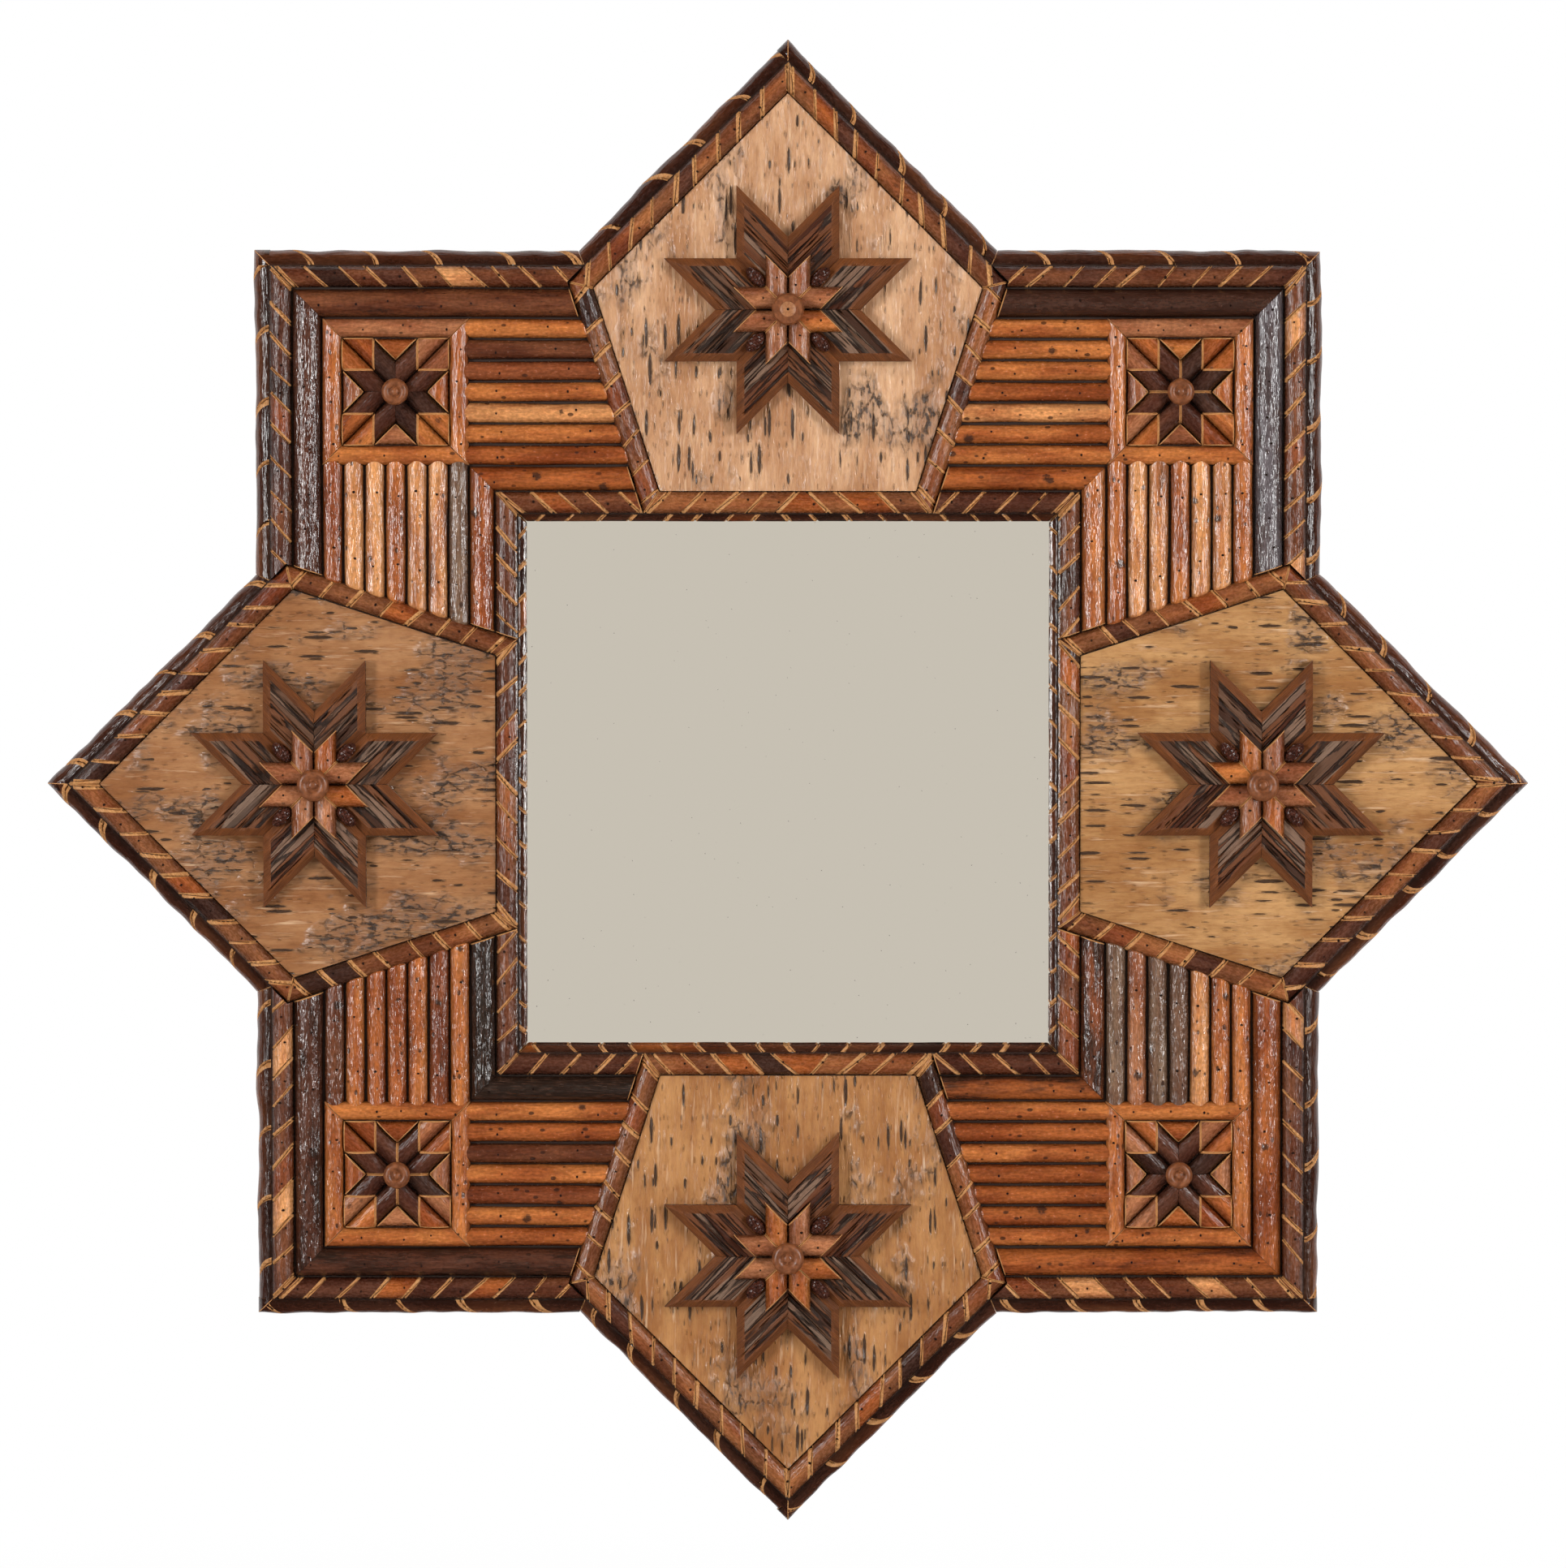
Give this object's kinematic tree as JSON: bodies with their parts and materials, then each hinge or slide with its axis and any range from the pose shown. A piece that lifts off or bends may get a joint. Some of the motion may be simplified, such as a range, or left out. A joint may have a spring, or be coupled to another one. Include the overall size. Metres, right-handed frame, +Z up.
{
  "type": "star mirror",
  "caption": "Star-shaped rustic wall mirror: square glass in a board with pentagonal points, covered in split twigs, bark sheets and mosaic stars, hung by swinging rings.",
  "frame": {"origin": "centre of the star on the wall plane that the four bumpers touch", "axes": "+Z up the wall, +X to the viewer's right, +Y into the wall, so the mirror faces -Y"},
  "size_m": [0.85, 0.0515, 0.85],
  "materials": {
    "plywood": "sealed birch plywood",
    "mirror": "silvered glass",
    "card": "grey-brown packing card",
    "hardboard": "smooth brown hardboard",
    "zinc_steel": "bright zinc plate",
    "rubber": "black rubber",
    "edge_bark": "varnished near-black bark with knife cuts",
    "notched_bark": "varnished dark brown bark with pale knife cuts",
    "border_bark": "varnished dark grey-brown bark",
    "twig_bark": "varnished orange-tan bark",
    "block_bark": "varnished tan bark",
    "dark_petal_bark": "varnished dark bark",
    "filler_bark": "varnished light bark",
    "birch_bark": "varnished inner birch bark",
    "rough_bark": "ridged grey-brown bark with sanded bevels",
    "small_petal_bark": "varnished tan bark",
    "seed_cup": "smooth brown seed cup",
    "cone": "dark red-brown cone scales"
  },
  "bodies": {
    "mirror": {"backing_board": "plywood", "mirror_glass": "mirror", "packing_card": "card", "back_panel": "hardboard", "back_screws": "zinc_steel", "hanger_straps": "zinc_steel", "wall_bumpers": "rubber", "lining_rods": "notched_bark", "star_caps": "seed_cup", "seed_cones": "cone", "edge_rods_top_left": "edge_bark", "edge_rods_top_right": "edge_bark", "edge_rods_bottom_right": "edge_bark", "edge_rods_bottom_left": "edge_bark", "trim_rods_top_left": "notched_bark", "trim_rods_top_right": "notched_bark", "trim_rods_bottom_right": "notched_bark", "trim_rods_bottom_left": "notched_bark", "border_rods_top_left": "border_bark", "border_rods_top_right": "border_bark", "border_rods_bottom_right": "border_bark", "border_rods_bottom_left": "border_bark", "twig_fields_top_left": "twig_bark", "twig_fields_top_right": "twig_bark", "twig_fields_bottom_right": "twig_bark", "twig_fields_bottom_left": "twig_bark", "block_frame_top_left": "block_bark", "block_frame_top_right": "block_bark", "block_frame_bottom_right": "block_bark", "block_frame_bottom_left": "block_bark", "corner_star_petals_top_left": "dark_petal_bark", "corner_star_petals_top_right": "dark_petal_bark", "corner_star_petals_bottom_right": "dark_petal_bark", "corner_star_petals_bottom_left": "dark_petal_bark", "corner_star_fillers_top_left": "filler_bark", "corner_star_fillers_top_right": "filler_bark", "corner_star_fillers_bottom_right": "filler_bark", "corner_star_fillers_bottom_left": "filler_bark", "bark_panel_top": "birch_bark", "bark_panel_right": "birch_bark", "bark_panel_bottom": "birch_bark", "bark_panel_left": "birch_bark", "point_frame_rods_top": "notched_bark", "point_frame_rods_right": "notched_bark", "point_frame_rods_bottom": "notched_bark", "point_frame_rods_left": "notched_bark", "point_edge_rods_top": "edge_bark", "point_edge_rods_right": "edge_bark", "point_edge_rods_bottom": "edge_bark", "point_edge_rods_left": "edge_bark", "large_star_top": "rough_bark", "large_star_right": "rough_bark", "large_star_bottom": "rough_bark", "large_star_left": "rough_bark", "small_star_top": "small_petal_bark", "small_star_right": "small_petal_bark", "small_star_bottom": "small_petal_bark", "small_star_left": "small_petal_bark"},
    "ring_left": {"hanger_ring_left": "zinc_steel"},
    "ring_right": {"hanger_ring_right": "zinc_steel"}
  },
  "joints": [
    {"name": "ring_left_swing", "type": "hinge", "parent": "mirror", "child": "ring_left", "pos_m": [-0.215, -0.005, 0.205], "axis": [1, 0, 0], "range_deg": [0, 180]},
    {"name": "ring_right_swing", "type": "hinge", "parent": "mirror", "child": "ring_right", "pos_m": [0.215, -0.005, 0.205], "axis": [1, 0, 0], "range_deg": [0, 180]}
  ]
}
